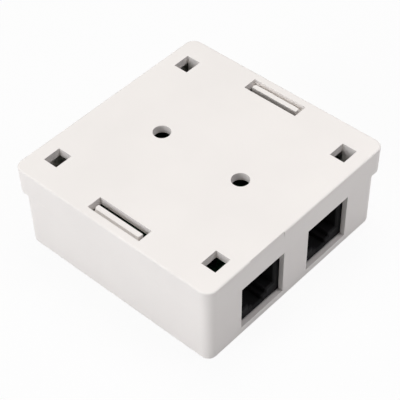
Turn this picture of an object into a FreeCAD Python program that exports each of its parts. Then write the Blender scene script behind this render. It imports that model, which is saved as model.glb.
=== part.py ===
"""Two-port network wall box for surface mounting, seen lying on its front cover.

The box is a shallow base, which is screwed to a wall, and a deep cover that snaps onto it. A circuit
board hangs from four hooks of the base. It carries two 8-way jacks, which look out of two windows in
the cover, and four 4-way insulation displacement blocks for the wires of the two cables.

Frame: millimetres. The cover's front face lies on z = 0 and the mounting face of the base is on top,
at z = overall_height. The ports face -Y. X runs along the wall that the ports are in.
"""
import FreeCAD, Part
import math
import os
import re
import Sketcher
from FreeCAD import Placement, Rotation, Vector

doc = FreeCAD.newDocument("wall_box")

# Driving dimensions, in millimetres and degrees
SIZES = [
    ("overall_height", 25.7, "mounting face above the cover's front face"),
    ("base_width", 64.65, "base along X at the mounting face"),
    ("base_depth", 63.15, "base along Y at the mounting face"),
    ("base_corner", 2.9, "radius of the base's upright corners"),
    ("base_side_height", 7.6, "height of the base's side wall"),
    ("base_side_draft", 1.4, "draft of the base's side wall"),
    ("base_edge_round", 0.45, "round on the mounting face's rim"),
    ("base_lip_wall", 1.05, "base's side wall at its open edge"),
    ("tray_corner", 2.2, "upright corners of the base's inside and of the rim in it"),
    ("plate_thickness", 2.3, "base plate"),
    ("rear_shift", -0.17, "Y of the centre of the base's holes, hooks and board"),
    ("core_width", 5.1, "square core hole over each hook, along X"),
    ("core_length", 4.25, "square core hole over each hook, along Y"),
    ("core_margin_x", 6.56, "core hole's outer wall inside the base's edge, along X"),
    ("core_margin_y", 3.95, "core hole's outer wall inside the base's edge, along Y"),
    ("slot_width", 4.2, "latch slot along X"),
    ("slot_length", 16.55, "latch slot along Y"),
    ("slot_margin", 2.25, "latch slot's outer wall inside the base's edge"),
    ("slot_ledge_drop", 1.7, "latch ledge below the mounting face"),
    ("slot_ledge_reach", 0.9, "latch ledge, from the slot's outer wall inwards"),
    ("screw_hole_radius", 2.3, "screw hole"),
    ("screw_spacing", 25.5, "screw holes, centre to centre along Y"),
    ("relief_length", 12.0, "shallow relief in the rim above the first port"),
    ("relief_bite", 0.24, "relief inwards from the side wall"),
    ("relief_height", 3.0, "relief down the side wall"),
    ("hook_thickness", 1.5, "stem of a board hook"),
    ("hook_reach", 1.1, "barb of a board hook"),
    ("hook_nose", 1.6, "height of a hook's barb"),
    ("hook_land", 0.4, "upright part of a hook's barb"),
    ("hook_play", 0.05, "barb below the board"),
    ("post_radius", 2.0, "post that the board rests on"),
    ("post_margin", 6.0, "post's centre inside the board's edge"),
    ("peg_radius", 1.1, "peg on a post, in the board's hole"),
    ("peg_short", 0.2, "peg's end short of the board's component side"),
    ("rest_width", 1.5, "rib that the board's edge rests on, along X"),
    ("rest_length", 6.0, "rib that the board's edge rests on, along Y"),
    ("rest_spacing", 32.0, "ribs, centre to centre along Y"),
    ("cover_inset", 1.12, "cover wall inside the base's outline at the lip"),
    ("cover_draft", 0.73, "draft of the cover's walls"),
    ("cover_corner", 2.4, "radius of the cover's upright corners"),
    ("cover_edge_round", 0.8, "round on the cover's front edge"),
    ("cover_wall", 1.35, "cover's side wall"),
    ("cavity_corner", 1.2, "inner corner radius of the cover"),
    ("front_thickness", 2.0, "cover's front plate"),
    ("lip_gap", 0.12, "gap between the base's edge and the cover's shoulder"),
    ("rim_fit", 0.12, "play between the cover's rim and the base"),
    ("latch_play", 1.73, "room to press a latch inwards in its slot"),
    ("latch_thickness", 1.4, "latch finger"),
    ("latch_length", 14.3, "latch finger along Y"),
    ("latch_reach", 0.6, "barb of a latch finger"),
    ("latch_drop", 0.45, "latch tip below the mounting face"),
    ("latch_lead", 0.9, "height of the sloping lead-in of a latch"),
    ("latch_catch", 0.05, "latch barb above its ledge"),
    ("latch_root", 1.2, "thicker root of a latch finger"),
    ("latch_root_height", 4.0, "thicker root of a latch finger"),
    ("latch_end_round", 0.6, "rounded ends of a latch tip"),
    ("port_shift", 0.23, "port off the centre of its half of the board, towards the middle"),
    ("window_width", 15.2, "port window"),
    ("window_sill", 2.55, "lower edge of a port window"),
    ("knockout_width", 13.0, "cable knockout in the far wall"),
    ("knockout_sill", 8.0, "lower edge of the cable knockout"),
    ("knockout_web", 0.9, "wall left in the knockout"),
    ("score_width", 0.6, "groove round the knockout, outside"),
    ("score_depth", 0.4, "groove round the knockout, outside"),
    ("guide_thickness", 1.0, "guide rib beside a jack"),
    ("guide_length", 5.0, "guide rib beside a jack, along Y"),
    ("guide_height", 5.0, "guide rib beside a jack"),
    ("guide_play", 0.3, "guide rib clear of the jack"),
    ("board_thickness", 1.6, "circuit board"),
    ("board_side_play", 0.15, "board clear of a hook's stem"),
    ("board_end_play", 1.5, "board clear of the cover at its front and rear, before its shift"),
    ("driver_hole_radius", 3.9, "hole for the screw head and driver"),
    ("peg_play", 0.1, "peg clear of its hole, all round"),
    ("jack_width", 15.9, "jack housing along X"),
    ("jack_depth", 18.0, "jack housing along Y"),
    ("jack_height", 13.3, "jack housing above the board"),
    ("jack_gap", 0.15, "jack face behind the cover wall"),
    ("plug_width", 11.9, "plug cavity"),
    ("plug_floor", 2.8, "plug cavity's floor above the board"),
    ("plug_shoulder", 9.9, "plug cavity's roof above the board"),
    ("plug_cavity_depth", 14.0, "plug cavity"),
    ("key_width", 6.2, "first step of the latch keyway"),
    ("key_height", 11.2, "first step of the latch keyway above the board"),
    ("hook_slot_width", 3.4, "second step of the latch keyway"),
    ("hook_slot_height", 12.3, "second step of the latch keyway above the board"),
    ("mouth_chamfer", 0.35, "chamfer round the plug cavity's mouth"),
    ("jack_peg_radius", 1.3, "jack's locating peg"),
    ("jack_peg_spacing", 12.5, "jack's pegs, centre to centre"),
    ("jack_peg_setback", 8.9, "jack's pegs behind its face"),
    ("jack_peg_length", 2.2, "jack's pegs below the board's surface"),
    ("insert_width", 9.3, "contact carrier along X"),
    ("insert_play", 0.08, "carrier clear of the housing, each side"),
    ("insert_front", 1.7, "carrier's front end behind the jack's face"),
    ("insert_floor", 0.3, "carrier above the board"),
    ("insert_top", 2.55, "carrier's comb surface above the board"),
    ("insert_tower", 3.7, "carrier's upright leg along Y"),
    ("insert_tower_height", 10.8, "carrier's upright leg above the board"),
    ("comb_groove", 0.6, "groove for one contact wire"),
    ("comb_depth", 0.42, "groove for one contact wire"),
    ("contact_pitch", 1.02, "jack contacts"),
    ("contact_width", 0.42, "contact wire along X"),
    ("contact_thickness", 0.34, "contact wire"),
    ("contact_bend", 0.55, "contact wire's front bend"),
    ("contact_front", 3.0, "centre of the front bend behind the jack's face"),
    ("contact_slope", 15.0, "slope of the free ends"),
    ("contact_tip", 9.8, "free ends' tips behind the jack's face"),
    ("near_pin_row", 10.9, "first row of solder pins behind the jack's face"),
    ("far_pin_row", 13.3, "second row of solder pins behind the jack's face"),
    ("pin_length", 2.6, "solder pins below the board's component side"),
    ("jack_pin_hole", 0.8, "square hole for a jack pin"),
    ("block_length", 15.2, "wire block along X"),
    ("block_width", 7.6, "wire block along Y"),
    ("block_height", 10.2, "wire block"),
    ("block_shoulder", 8.2, "start of the sloping top of a wire block"),
    ("block_crest", 3.2, "flat crest of a wire block along Y"),
    ("block_pitch", 3.4, "wire slots of a block"),
    ("wire_slot", 1.3, "wire slot"),
    ("wire_slot_floor", 4.4, "floor of a wire slot above the board"),
    ("blade_groove", 0.6, "groove for the contact blades"),
    ("blade_groove_floor", 3.0, "floor of the blade groove above the board"),
    ("blade_groove_end", 1.0, "block's end wall beside the blade groove"),
    ("blade_thickness", 0.5, "contact blade"),
    ("blade_width", 2.7, "contact blade along X"),
    ("blade_height", 9.6, "contact blade above the board"),
    ("blade_slit", 0.36, "slit that grips the wire"),
    ("blade_slit_floor", 5.4, "bottom of the slit above the board"),
    ("blade_mouth", 1.3, "flared mouth of the slit"),
    ("blade_mouth_depth", 0.9, "flared mouth of the slit"),
    ("blade_pin_width", 0.7, "blade's solder pin along X"),
    ("block_pin_hole", 0.9, "square hole for a blade's pin"),
    ("pin_passage", 0.9, "passage for a blade's pin through the block"),
    ("front_row_gap", 0.8, "front blocks' caps behind the jacks"),
    ("rear_row_margin", 1.55, "rear blocks' caps inside the board's edge"),
    ("cap_side_play", 0.1, "cap clear of the block's sides"),
    ("cap_wall", 0.7, "cap's side wall"),
    ("cap_top", 1.2, "cap's top"),
    ("cap_skirt", 6.2, "lower edge of a cap above the board"),
    ("cap_length", 15.6, "cap along X"),
    ("cap_notch", 1.7, "notch for a wire in the cap's side"),
    ("cap_notch_top", 8.4, "top of the notch above the board"),
    ("cap_round", 0.5, "round on the cap's long edges"),
]

sheet = doc.addObject("Spreadsheet::Sheet", "Sizes")
for row, (alias, number, note) in enumerate(SIZES, 1):
    sheet.set(f"A{row}", alias)
    sheet.set(f"B{row}", str(number))
    sheet.setAlias(f"B{row}", alias)
    sheet.set(f"C{row}", note)
doc.recompute()

ALIASES = {alias for alias, _, _ in SIZES}

# Heights and places that several pieces share, worked out from the driving dimensions
LIP_Z = "(overall_height - base_side_height)"
PLATE_Z = "(overall_height - plate_thickness)"
BOARD_Z = "(window_sill + jack_height)"
SOLDER_Z = f"({BOARD_Z} + board_thickness)"
LIP_HALF_X = "(base_width / 2 - base_side_height * tan(base_side_draft * 1 deg))"
LIP_HALF_Y = "(base_depth / 2 - base_side_height * tan(base_side_draft * 1 deg))"
TRAY_HALF_X = f"({LIP_HALF_X} - base_lip_wall)"
TRAY_HALF_Y = f"({LIP_HALF_Y} - base_lip_wall)"
SLOT_OUTER = "(base_width / 2 - slot_margin)"
SLOT_INNER = f"({SLOT_OUTER} - slot_width)"
STEM_X = "(base_width / 2 - core_margin_x)"
HOOK_Y = "(base_depth / 2 - core_margin_y - core_length / 2)"
BOARD_HALF_X = f"({STEM_X} - board_side_play)"
POST_X = f"({BOARD_HALF_X} - post_margin)"
PORT_X = f"(({STEM_X} - hook_reach) / 2 - port_shift)"
COVER_HALF_X = "(base_width / 2 - cover_inset)"
COVER_HALF_Y = "(base_depth / 2 - cover_inset)"
FOOT_SHRINK = f"({LIP_Z} * tan(cover_draft * 1 deg))"
BOARD_HALF_Y = f"({COVER_HALF_Y} - {FOOT_SHRINK} - cover_wall - board_end_play)"
LATCH_X = f"({SLOT_INNER} + latch_play)"
JACK_FACE = f"(-({COVER_HALF_Y} - {FOOT_SHRINK} - cover_wall - jack_gap))"
CAP_HALF = "(block_width / 2 + cap_side_play + cap_wall)"
FRONT_ROW = f"({JACK_FACE} + jack_depth + front_row_gap + {CAP_HALF})"
REAR_ROW = f"(rear_shift + {BOARD_HALF_Y} - rear_row_margin - {CAP_HALF})"

# Counts that the object has, and that no size changes
PORTS = (("left", -1), ("right", 1))
CONTACTS_PER_JACK = 8
WIRES_PER_BLOCK = 4

# How a swept section turns a sharp corner of its path, and the chords of a wire's front bend
MITRED = 1
BEND_CHORDS = 5


def bound(text):
    """Return the expression with each alias written as a cell of the sheet."""
    return re.sub(r"[a-z_]\w*", lambda m: f"Sizes.{m[0]}" if m[0] in ALIASES else m[0], text)


def size(text):
    """Return the present value of an expression, in millimetres or as a plain number."""
    return float(sheet.evalExpression(bound(text)))


def bind(thing, prop, text):
    """Tie a property to an expression."""
    thing.setExpression(prop, bound(text))


def new_body(label, x="0", y="0", z="0", upside_down=False):
    """Make a body; upside_down turns it about X, so that its own +Z points at the cover."""
    body = doc.addObject("PartDesign::Body", label)
    body.Label = label
    turn = Rotation(Vector(1, 0, 0), 180 if upside_down else 0)
    body.Placement = Placement(Vector(), turn)
    for axis, text in (("x", x), ("y", y), ("z", z)):
        bind(body, f"Placement.Base.{axis}", text)
    return body


def origin_feature(body, role):
    """Return one of the body's own origin planes or axes."""
    return next(f for f in body.Origin.OriginFeatures if f.Role == role)


def new_sketch(body, name, across="XY", at="0"):
    """Make a sketch across XY at a z, across XZ at a y, or across YZ at an x."""
    sketch = body.newObject("Sketcher::SketchObject", f"{body.Label}_{name}_sketch")
    sketch.AttachmentSupport = [(origin_feature(body, f"{across}_Plane"), "")]
    sketch.MapMode = "FlatFace"
    bind(sketch, "AttachmentOffset.Base.z", f"-({at})" if across == "XZ" else at)
    return sketch


def pin_point(sketch, line, end, point):
    """Hold one end of a line, or a circle's centre, at a point given by two expressions."""
    for kind, text in zip(("DistanceX", "DistanceY"), point):
        index = sketch.addConstraint(Sketcher.Constraint(kind, -1, 1, line, end, size(text)))
        bind(sketch, f"Constraints[{index}]", text)


def polygon(sketch, points):
    """Draw a closed outline through points given as pairs of expressions."""
    first = sketch.GeometryCount
    spots = [Vector(size(a), size(b), 0) for a, b in points]
    for start, end in zip(spots, spots[1:] + spots[:1]):
        sketch.addGeometry(Part.LineSegment(start, end), False)
    for index, point in enumerate(points):
        after = first + (index + 1) % len(points)
        sketch.addConstraint(Sketcher.Constraint("Coincident", first + index, 2, after, 1))
        pin_point(sketch, first + index, 1, point)


def rectangle(sketch, low_x, high_x, low_y, high_y):
    polygon(sketch, [(low_x, low_y), (high_x, low_y), (high_x, high_y), (low_x, high_y)])


def centred(sketch, half_x, half_y, x="0", y="0"):
    """Draw a rectangle about a centre."""
    rectangle(sketch, f"{x} - {half_x}", f"{x} + {half_x}", f"{y} - {half_y}", f"{y} + {half_y}")


def rounded(sketch, half_x, half_y, radius):
    """Draw a rectangle about the origin with an arc, tangent to its sides, at each corner."""
    quarters = []
    for turn, (side_x, side_y) in enumerate(((1, 1), (-1, 1), (-1, -1), (1, -1))):
        spot = (f"{side_x} * ({half_x} - {radius})", f"{side_y} * ({half_y} - {radius})")
        ring = Part.Circle(Vector(size(spot[0]), size(spot[1]), 0), Vector(0, 0, 1), size(radius))
        arc = Part.ArcOfCircle(ring, turn * math.pi / 2, (turn + 1) * math.pi / 2)
        quarters.append((sketch.addGeometry(arc, False), arc, spot))
    for (index, arc, spot), (after, next_arc, _) in zip(quarters, quarters[1:] + quarters[:1]):
        line = sketch.addGeometry(Part.LineSegment(arc.EndPoint, next_arc.StartPoint), False)
        sketch.addConstraint(Sketcher.Constraint("Tangent", index, 2, line, 1))
        sketch.addConstraint(Sketcher.Constraint("Tangent", line, 2, after, 1))
        pin_point(sketch, index, 3, spot)
        limit = sketch.addConstraint(Sketcher.Constraint("Radius", index, size(radius)))
        bind(sketch, f"Constraints[{limit}]", radius)


def circle(sketch, x, y, radius):
    index = sketch.addGeometry(
        Part.Circle(Vector(size(x), size(y), 0), Vector(0, 0, 1), size(radius)), False)
    pin_point(sketch, index, 3, (x, y))
    limit = sketch.addConstraint(Sketcher.Constraint("Radius", index, size(radius)))
    bind(sketch, f"Constraints[{limit}]", radius)


def settle(feature):
    """Recompute, and stop at the first feature that fails."""
    doc.recompute()
    if not feature.isValid():
        raise RuntimeError(f"{feature.Name} failed: {feature.getStatusString()}")
    return feature


def extrude(kind, body, sketch, length, back=False, both=False):
    """Pad or pocket a sketch; back turns the direction round, both takes half each way."""
    before = body.Shape.Volume if kind == "Pocket" else 0.0
    feature = body.newObject(f"PartDesign::{kind}", sketch.Name.replace("sketch", kind.lower()))
    feature.Profile = sketch
    bind(feature, "Length", length)
    feature.Reversed = back
    if both:
        feature.SideType = "Symmetric"
    settle(feature)
    if kind == "Pocket" and body.Shape.Volume >= before:
        raise RuntimeError(f"{feature.Name} cuts nothing")
    return feature


def pad(body, sketch, length, **options):
    return extrude("Pad", body, sketch, length, **options)


def pocket(body, sketch, length, **options):
    return extrude("Pocket", body, sketch, length, **options)


def repeat(body, features, sketch, axis, span, count):
    """Copy features along an axis of a sketch, the last copy a span away."""
    pattern = body.newObject("PartDesign::LinearPattern", f"{features[0].Name}_row")
    pattern.Originals = features
    pattern.Direction = (sketch, [axis])
    bind(pattern, "Length", span)
    pattern.Occurrences = count
    body.Tip = pattern
    return settle(pattern)


def edge_names(shape, wanted):
    """Return the names of the edges that wanted() picks."""
    return [f"Edge{n}" for n, edge in enumerate(shape.Edges, 1) if wanted(edge)]


def soften(kind, body, name, amount, wanted):
    """Fillet or chamfer the edges of the body's present shape that wanted() picks."""
    base = body.Tip
    names = edge_names(base.Shape, wanted)
    feature = body.newObject(f"PartDesign::{kind}", f"{body.Label}_{name}")
    feature.Base = (base, names)
    bind(feature, "Radius" if kind == "Fillet" else "Size", amount)
    return settle(feature)


def slope_walls(body, angle, low, high, inside=False):
    """Give the walls between two heights a draft that opens them out with rising z."""
    base = body.Tip
    names = [f"Face{n}" for n, face in enumerate(base.Shape.Faces, 1)
             if abs(face.BoundBox.ZMin - low) < 0.02 and abs(face.BoundBox.ZMax - high) < 0.02]
    feature = body.newObject("PartDesign::Draft", f"{body.Label}_{angle}")
    feature.Base = (base, names)
    feature.NeutralPlane = (origin_feature(body, "XY_Plane"), [""])
    bind(feature, "Angle", angle)
    feature.Reversed = not inside
    return settle(feature)


def is_line(edge):
    return edge.Curve.TypeId == "Part::GeomLine"


def upright(edge, low, high):
    """Tell whether an edge runs from one height to the other, in the body's own frame."""
    box = edge.BoundBox
    return is_line(edge) and abs(box.ZMin - low) < 0.02 and abs(box.ZMax - high) < 0.02


def level(edge, height):
    """Tell whether an edge lies all at one height."""
    return abs(edge.BoundBox.ZMin - height) < 0.02 and abs(edge.BoundBox.ZMax - height) < 0.02


def mirrored(points):
    """Return an outline followed by its own mirror image across x = 0."""
    return points + [(f"-({x})", y) for x, y in reversed(points)]


def port_x(side):
    return f"{side} * {PORT_X}"


def contact_x(number):
    return f"{number - (CONTACTS_PER_JACK - 1) / 2} * contact_pitch"


def contact_row(number):
    return "near_pin_row" if number % 2 else "far_pin_row"


def blade_x(number):
    return f"{number - (WIRES_PER_BLOCK - 1) / 2} * block_pitch"


def make_base():
    """The part that is screwed to the wall: a plate with a low side wall."""
    body = new_body("base", z="overall_height")
    outline = new_sketch(body, "outline")
    centred(outline, "base_width / 2", "base_depth / 2")
    pad(body, outline, "base_side_height", back=True)
    bottom = -size("base_side_height")
    soften("Fillet", body, "corners", "base_corner", lambda e: upright(e, bottom, 0))
    slope_walls(body, "base_side_draft", bottom, 0)

    tray = new_sketch(body, "tray", at="-base_side_height")
    centred(tray, TRAY_HALF_X, TRAY_HALF_Y)
    pocket(body, tray, "base_side_height - plate_thickness", back=True)
    plate = -size("plate_thickness")
    soften("Fillet", body, "tray_corners", "tray_corner", lambda e: upright(e, bottom, plate))
    soften("Fillet", body, "rim", "base_edge_round", lambda e: level(e, 0))

    base_holes(body)
    base_supports(body)
    base_hooks(body)

    relief = new_sketch(body, "relief", "YZ", f"{port_x(-1)} - relief_length / 2")
    rim = "-base_depth / 2"
    inner = f"{rim} + relief_bite"
    clear = f"{rim} - base_edge_round"
    polygon(relief, [(clear, "-relief_height"), (rim, "-relief_height"), (inner, "0"),
                     (inner, "base_edge_round"), (clear, "base_edge_round")])
    pocket(body, relief, "relief_length", back=True)
    return body


def base_holes(body):
    """Core holes over the hooks, stepped latch slots, and the screw holes."""
    cores = new_sketch(body, "cores")
    for side_x in (-1, 1):
        for side_y in (-1, 1):
            centred(cores, "core_width / 2", "core_length / 2",
                    f"{side_x} * ({STEM_X} - core_width / 2)", f"rear_shift + {side_y} * {HOOK_Y}")
    pocket(body, cores, "plate_thickness")

    upper = new_sketch(body, "slots")
    lower = new_sketch(body, "slot_floors", at="-slot_ledge_drop")
    low_y, high_y = "rear_shift - slot_length / 2", "rear_shift + slot_length / 2"
    ledge = f"({SLOT_OUTER} - slot_ledge_reach)"
    for side in (-1, 1):
        inner = f"{side} * {SLOT_INNER}"
        rectangle(upper, *sorted((inner, f"{side} * {SLOT_OUTER}"), key=size), low_y, high_y)
        rectangle(lower, *sorted((inner, f"{side} * {ledge}"), key=size), low_y, high_y)
    pocket(body, upper, "slot_ledge_drop")
    pocket(body, lower, "plate_thickness - slot_ledge_drop")

    holes = new_sketch(body, "screw_holes")
    for side in (-1, 1):
        circle(holes, "0", f"rear_shift + {side} * screw_spacing / 2", "screw_hole_radius")
    pocket(body, holes, "plate_thickness")


def base_supports(body):
    """Posts with pegs and edge ribs that the solder side of the board rests on."""
    drop = f"overall_height - plate_thickness - {SOLDER_Z}"
    posts = new_sketch(body, "posts", at="-plate_thickness")
    pegs = new_sketch(body, "pegs", at="-plate_thickness")
    rests = new_sketch(body, "rests", at="-plate_thickness")
    for side_x in (-1, 1):
        x = f"{side_x} * {POST_X}"
        circle(posts, x, "rear_shift", "post_radius")
        circle(pegs, x, "rear_shift", "peg_radius")
        for side_y in (-1, 1):
            centred(rests, "rest_width / 2", "rest_length / 2",
                    f"{side_x} * ({BOARD_HALF_X} - rest_width)",
                    f"rear_shift + {side_y} * rest_spacing / 2")
    pad(body, posts, drop, back=True)
    pad(body, rests, drop, back=True)
    pad(body, pegs, f"{drop} + board_thickness - peg_short", back=True)


def base_hooks(body):
    """Four hooks; each stem stands flush with the outer wall of its core hole."""
    catch = f"({BOARD_Z} - hook_play - overall_height)"
    outer = f"{STEM_X} + hook_thickness"
    nose = f"{STEM_X} - hook_reach"
    profile = [(STEM_X, "-plate_thickness"), (STEM_X, catch), (nose, catch),
               (nose, f"{catch} - hook_land"), (STEM_X, f"{catch} - hook_nose"),
               (outer, f"{catch} - hook_nose"), (outer, "-plate_thickness")]
    hooks = new_sketch(body, "hooks", "XZ", f"rear_shift + {HOOK_Y}")
    polygon(hooks, profile)
    polygon(hooks, [(f"-({x})", z) for x, z in profile])
    pair = pad(body, hooks, "core_length", both=True)
    repeat(body, [pair], hooks, "N_Axis", f"2 * {HOOK_Y}", 2)


def make_cover():
    """The deep moulding that faces the room, with its windows and its two latch fingers."""
    body = new_body("cover")
    outline = new_sketch(body, "outline")
    centred(outline, f"({COVER_HALF_X} - {FOOT_SHRINK})", f"({COVER_HALF_Y} - {FOOT_SHRINK})")
    pad(body, outline, f"{LIP_Z} - lip_gap")
    top, shoulder = size(PLATE_Z), size(f"{LIP_Z} - lip_gap")
    soften("Fillet", body, "corners", "cover_corner", lambda e: upright(e, 0, shoulder))
    slope_walls(body, "cover_draft", 0, shoulder)
    soften("Fillet", body, "front_edge", "cover_edge_round", lambda e: level(e, 0))

    rim = new_sketch(body, "rim", at=f"{LIP_Z} - lip_gap")
    rounded(rim, f"({TRAY_HALF_X} - rim_fit)", f"({TRAY_HALF_Y} - rim_fit)", "tray_corner")
    pad(body, rim, f"{PLATE_Z} - {LIP_Z} + lip_gap")

    cavity = new_sketch(body, "cavity", at=PLATE_Z)
    centred(cavity, f"({COVER_HALF_X} - {FOOT_SHRINK} - cover_wall)",
            f"({COVER_HALF_Y} - {FOOT_SHRINK} - cover_wall)")
    pocket(body, cavity, f"{PLATE_Z} - front_thickness")
    floor = size("front_thickness")
    soften("Fillet", body, "cavity_corners", "cavity_corner", lambda e: upright(e, floor, top))
    slope_walls(body, "cover_draft", floor, top, inside=True)

    cover_windows(body)
    cover_latches(body)
    cover_knockout(body)
    cover_guides(body)
    return body


def cover_windows(body):
    """Port windows, open at the rim, where the base's side wall closes them."""
    windows = new_sketch(body, "windows", "XZ", "-base_depth / 2")
    for _, side in PORTS:
        x = port_x(side)
        rectangle(windows, f"{x} - window_width / 2", f"{x} + window_width / 2",
                  "window_sill", "overall_height")
    pocket(body, windows, f"base_depth / 2 + {JACK_FACE}")


def cover_latches(body):
    """A finger beside each X wall, with a barb that hooks onto the base's ledge."""
    tip = "overall_height - latch_drop"
    catch = "overall_height - slot_ledge_drop + latch_catch"
    outer = f"{LATCH_X} + latch_thickness"
    barb = f"{outer} + latch_reach"
    root = f"{LATCH_X} - latch_root"
    profile = [(root, "front_thickness"), (outer, "front_thickness"), (outer, catch),
               (barb, catch), (barb, f"{tip} - latch_lead"), (outer, tip), (LATCH_X, tip),
               (LATCH_X, "front_thickness + latch_root_height")]
    fingers = new_sketch(body, "fingers", "XZ", "rear_shift")
    for side in (-1, 1):
        polygon(fingers, [(f"{side} * ({x})", z) for x, z in profile])
    pad(body, fingers, "latch_length", both=True)
    peak, slope = size(tip), size(f"{tip} - latch_lead")
    reach = size("latch_reach")
    soften("Fillet", body, "latch_ends", "latch_end_round",
           lambda e: is_line(e) and abs(e.BoundBox.ZMax - peak) < 0.02
           and abs(e.BoundBox.ZMin - slope) < 0.02 and abs(e.BoundBox.XLength - reach) < 0.02)


def cover_knockout(body):
    """A thin place in the wall opposite the ports, scored outside, for the cables."""
    far = f"{COVER_HALF_Y} - knockout_web"
    half = "knockout_width / 2"
    thin = new_sketch(body, "knockout", "XZ", far)
    rectangle(thin, f"-{half}", half, "knockout_sill", PLATE_Z)
    pocket(body, thin, "cover_wall", back=True)
    score = new_sketch(body, "score", "XZ", f"{COVER_HALF_Y} - {FOOT_SHRINK} / 2 - score_depth")
    lower = "knockout_sill + score_width"
    top = f"{LIP_Z} - lip_gap"
    polygon(score, mirrored([(f"{half} - score_width", top), (half, top), (half, "knockout_sill")])
            + [(f"-{half} + score_width", lower), (f"{half} - score_width", lower)])
    pocket(body, score, "cover_inset")


def cover_guides(body):
    """Short ribs on the front plate that keep the jacks in line with their windows."""
    guides = new_sketch(body, "guides", at="front_thickness")
    near = f"{JACK_FACE} - jack_gap - cover_wall / 2"
    for _, port in PORTS:
        for side in (-1, 1):
            offset = "(jack_width / 2 + guide_play + guide_thickness / 2)"
            x = f"{port_x(port)} + {side} * {offset}"
            rectangle(guides, f"{x} - guide_thickness / 2", f"{x} + guide_thickness / 2",
                      near, f"{JACK_FACE} + guide_length")
    pad(body, guides, "guide_height")


def make_board():
    """Circuit board; its own z = 0 is the component side and +Z its solder side."""
    body = new_body("circuit_board", z=BOARD_Z)
    outline = new_sketch(body, "outline")
    centred(outline, BOARD_HALF_X, BOARD_HALF_Y, y="rear_shift")
    pad(body, outline, "board_thickness")
    large = new_sketch(body, "holes")
    for side in (-1, 1):
        circle(large, "0", f"rear_shift + {side} * screw_spacing / 2", "driver_hole_radius")
        circle(large, f"{side} * {POST_X}", "rear_shift", "peg_radius + peg_play")
        for peg in (-1, 1):
            circle(large, f"{port_x(side)} + {peg} * jack_peg_spacing / 2",
                   f"{JACK_FACE} + jack_peg_setback", "jack_peg_radius + peg_play")
    pocket(body, large, "board_thickness", back=True)
    jack_pins = new_sketch(body, "jack_pin_holes")
    block_pins = new_sketch(body, "block_pin_holes")
    for _, side in PORTS:
        for number in (0, 1):
            centred(jack_pins, "jack_pin_hole / 2", "jack_pin_hole / 2",
                    f"{port_x(side)} + {contact_x(number)}", f"{JACK_FACE} + {contact_row(number)}")
        for row in (FRONT_ROW, REAR_ROW):
            centred(block_pins, "block_pin_hole / 2", "block_pin_hole / 2",
                    f"{port_x(side)} + {blade_x(0)}", row)
    for sketch, pitch, count in ((jack_pins, "2 * contact_pitch", CONTACTS_PER_JACK // 2),
                                 (block_pins, "block_pitch", WIRES_PER_BLOCK)):
        first = pocket(body, sketch, "board_thickness", back=True)
        repeat(body, [first], sketch, "H_Axis", f"{count - 1} * {pitch}", count)
    return body


def on_board(label, x, y):
    """A body whose own +Z rises from the component side; its own +Y looks at the ports."""
    return new_body(label, x, y, BOARD_Z, upside_down=True)


def make_jack_housing(label, side):
    """Moulded housing with the stepped plug cavity, open below and behind for the carrier."""
    body = on_board(label, port_x(side), JACK_FACE)
    outline = new_sketch(body, "outline")
    rectangle(outline, "-jack_width / 2", "jack_width / 2", "-jack_depth", "0")
    pad(body, outline, "jack_height")
    mouth = new_sketch(body, "cavity", "XZ")
    polygon(mouth, mirrored([
        ("plug_width / 2", "plug_floor"), ("plug_width / 2", "plug_shoulder"),
        ("key_width / 2", "plug_shoulder"), ("key_width / 2", "key_height"),
        ("hook_slot_width / 2", "key_height"), ("hook_slot_width / 2", "hook_slot_height")]))
    pocket(body, mouth, "plug_cavity_depth", back=True)
    soften("Chamfer", body, "mouth", "mouth_chamfer",
           lambda e: abs(e.BoundBox.YMin) < 0.001 and abs(e.BoundBox.YMax) < 0.001
           and e.BoundBox.XMax < size("plug_width / 2 + 0.01")
           and e.BoundBox.XMin > -size("plug_width / 2 + 0.01"))
    half = "(insert_width / 2 + insert_play)"
    channel = new_sketch(body, "channel")
    rectangle(channel, f"-{half}", half, "-jack_depth", "-(insert_front - insert_play)")
    pocket(body, channel, "plug_floor", back=True)
    rear = new_sketch(body, "rear", "XZ", "-jack_depth")
    rectangle(rear, f"-{half}", half, "0", "insert_tower_height + insert_play")
    pocket(body, rear, "jack_depth - plug_cavity_depth")
    pegs = new_sketch(body, "pegs")
    for peg in (-1, 1):
        circle(pegs, f"{peg} * jack_peg_spacing / 2", "-jack_peg_setback", "jack_peg_radius")
    pad(body, pegs, "jack_peg_length", back=True)
    return body


def make_jack_insert(label, side):
    """Carrier of the eight contact wires: a comb under the cavity and a tower behind it."""
    body = on_board(label, port_x(side), JACK_FACE)
    rear = "-(jack_depth - insert_play)"
    tower = f"({rear} + insert_tower)"
    profile = new_sketch(body, "profile", "YZ")
    polygon(profile, [("-insert_front", "insert_floor"), (rear, "insert_floor"),
                      (rear, "insert_tower_height"), (tower, "insert_tower_height"),
                      (tower, "insert_top"), ("-insert_front", "insert_top")])
    pad(body, profile, "insert_width", both=True)
    grooves = new_sketch(body, "grooves", at="insert_top")
    wells = new_sketch(body, "wells", at="insert_top - comb_depth")
    for number in (0, 1):
        low, high = (f"{contact_x(number)} {sign} comb_groove / 2" for sign in "-+")
        end = f"-({contact_row(number)} + comb_groove / 2)"
        rectangle(grooves, low, high, end, "-insert_front")
        rectangle(wells, low, high, end, f"{end} + comb_groove")
    pair = [pocket(body, grooves, "comb_depth"),
            pocket(body, wells, "insert_top - comb_depth - insert_floor")]
    pairs = CONTACTS_PER_JACK // 2
    repeat(body, pair, grooves, "H_Axis", f"{pairs - 1} * 2 * contact_pitch", pairs)
    return body


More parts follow.
